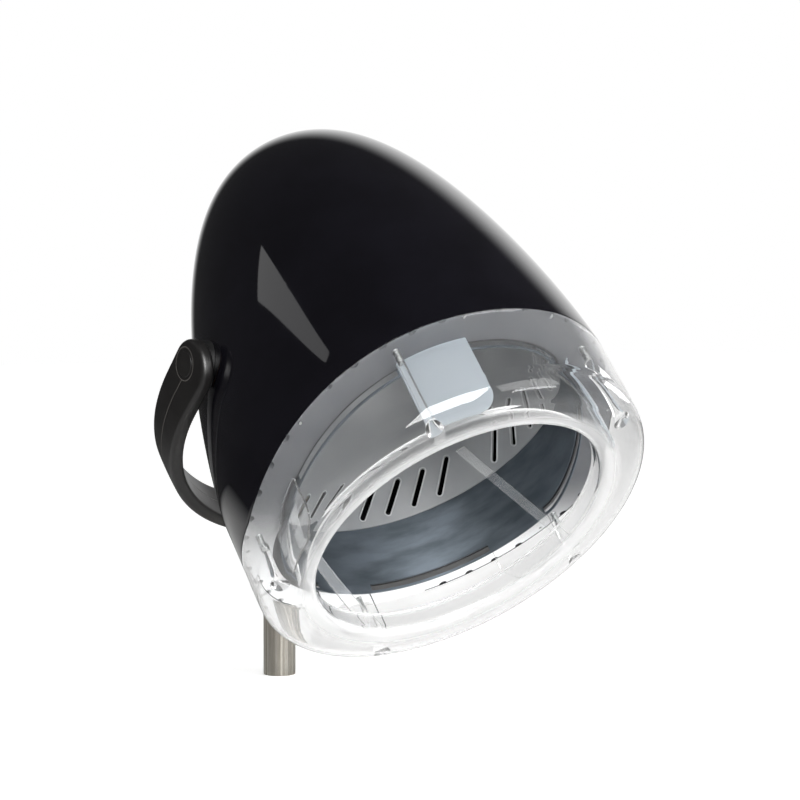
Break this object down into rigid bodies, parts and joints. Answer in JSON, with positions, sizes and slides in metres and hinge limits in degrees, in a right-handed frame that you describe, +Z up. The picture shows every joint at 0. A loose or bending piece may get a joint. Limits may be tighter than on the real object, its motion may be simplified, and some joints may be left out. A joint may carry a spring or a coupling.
{
  "type": "hood hair dryer",
  "caption": "Salon hood hair dryer head with glossy dome shell, clear ring visor and slotted inner bowl, tilting in a U-shaped yoke on a swivelling column tube.",
  "frame": {"origin": "centre of the column tube's lower end, on the tube's axis", "axes": "+Z up the column tube, the hood's front and mouth face -Y, +X to the hood's left-hand side seen from behind, which is the right of a viewer standing in front"},
  "size_m": [0.409, 0.4906, 0.569],
  "materials": {
    "satin_steel": "satin",
    "black_polymer": "satin",
    "zinc_steel": "satin",
    "white_polymer": "satin",
    "dark_grey_polymer": "satin",
    "bearing_bronze": "satin",
    "black_gloss_shell": "gloss",
    "clear_polymer": "clear",
    "light_grey_polymer": "satin",
    "brushed_aluminium": "brushed",
    "grey_polymer": "satin",
    "cast_alloy": "satin",
    "fibre_washer": "matte",
    "sheet_alloy": "satin",
    "motor_can": "satin",
    "ceramic_frame": "matte",
    "heater_sheath": "satin",
    "red_lens": "gloss"
  },
  "bodies": {
    "column": {"column_tube": "satin_steel", "stop_collar": "black_polymer", "collar_screw": "zinc_steel", "thrust_washer": "white_polymer"},
    "yoke": {"yoke_bow": "dark_grey_polymer", "swivel_bush": "white_polymer", "hub_cap": "dark_grey_polymer", "pivot_bushes": "bearing_bronze", "pivot_cap_left": "dark_grey_polymer", "pivot_cap_right": "dark_grey_polymer"},
    "hood": {"outer_shell": "black_gloss_shell", "intake_grille": "black_polymer", "visor": "clear_polymer", "visor_posts": "clear_polymer", "post_screws": "zinc_steel", "bowl_flange": "light_grey_polymer", "flange_screws": "zinc_steel", "bowl_skirt": "brushed_aluminium", "visor_tongues": "clear_polymer", "diffuser_panel": "grey_polymer", "pivot_spacer_left": "black_polymer", "pivot_spacer_right": "black_polymer", "pivot_pad_left": "cast_alloy", "pivot_pad_right": "cast_alloy", "pivot_bolts": "zinc_steel", "pivot_nuts": "zinc_steel", "friction_washers": "fibre_washer", "fan_deck": "grey_polymer", "fan_shroud": "sheet_alloy", "motor_bracket": "sheet_alloy", "motor_bearing": "bearing_bronze", "motor": "motor_can", "heater_frame": "ceramic_frame", "heater_element": "heater_sheath", "thermostat": "black_polymer", "control_panel": "black_polymer", "timer_body": "white_polymer", "heat_switch": "black_polymer", "pilot_lens": "red_lens", "cable_gland": "black_polymer"},
    "fan": {"motor_shaft": "zinc_steel", "impeller": "black_polymer"},
    "timer_control": {"timer_shaft": "zinc_steel", "timer_knob": "black_polymer"},
    "heat_control": {"heat_shaft": "zinc_steel", "heat_knob": "black_polymer"}
  },
  "joints": [
    {"name": "yoke_swivel", "type": "hinge", "parent": "column", "child": "yoke", "pos_m": [0, 0, 0.17], "axis": [0, 0, 1], "range_deg": [-170, 170]},
    {"name": "hood_tilt", "type": "hinge", "parent": "yoke", "child": "hood", "pos_m": [0, -0.15655, 0.33645], "axis": [1, 0, 0], "range_deg": [-30, 12]},
    {"name": "fan_spin", "type": "hinge", "parent": "hood", "child": "fan", "pos_m": [0, -0.0696, 0.46235], "axis": [0, 0.6587, 0.7524], "continuous": true},
    {"name": "timer_knob_turn", "type": "hinge", "parent": "hood", "child": "timer_control", "pos_m": [-0.038, -0.07428, 0.1807], "axis": [0, -0.7524, 0.6587], "range_deg": [0, 300]},
    {"name": "heat_knob_turn", "type": "hinge", "parent": "hood", "child": "heat_control", "pos_m": [0.038, -0.07428, 0.1807], "axis": [0, -0.7524, 0.6587], "range_deg": [0, 270]}
  ]
}
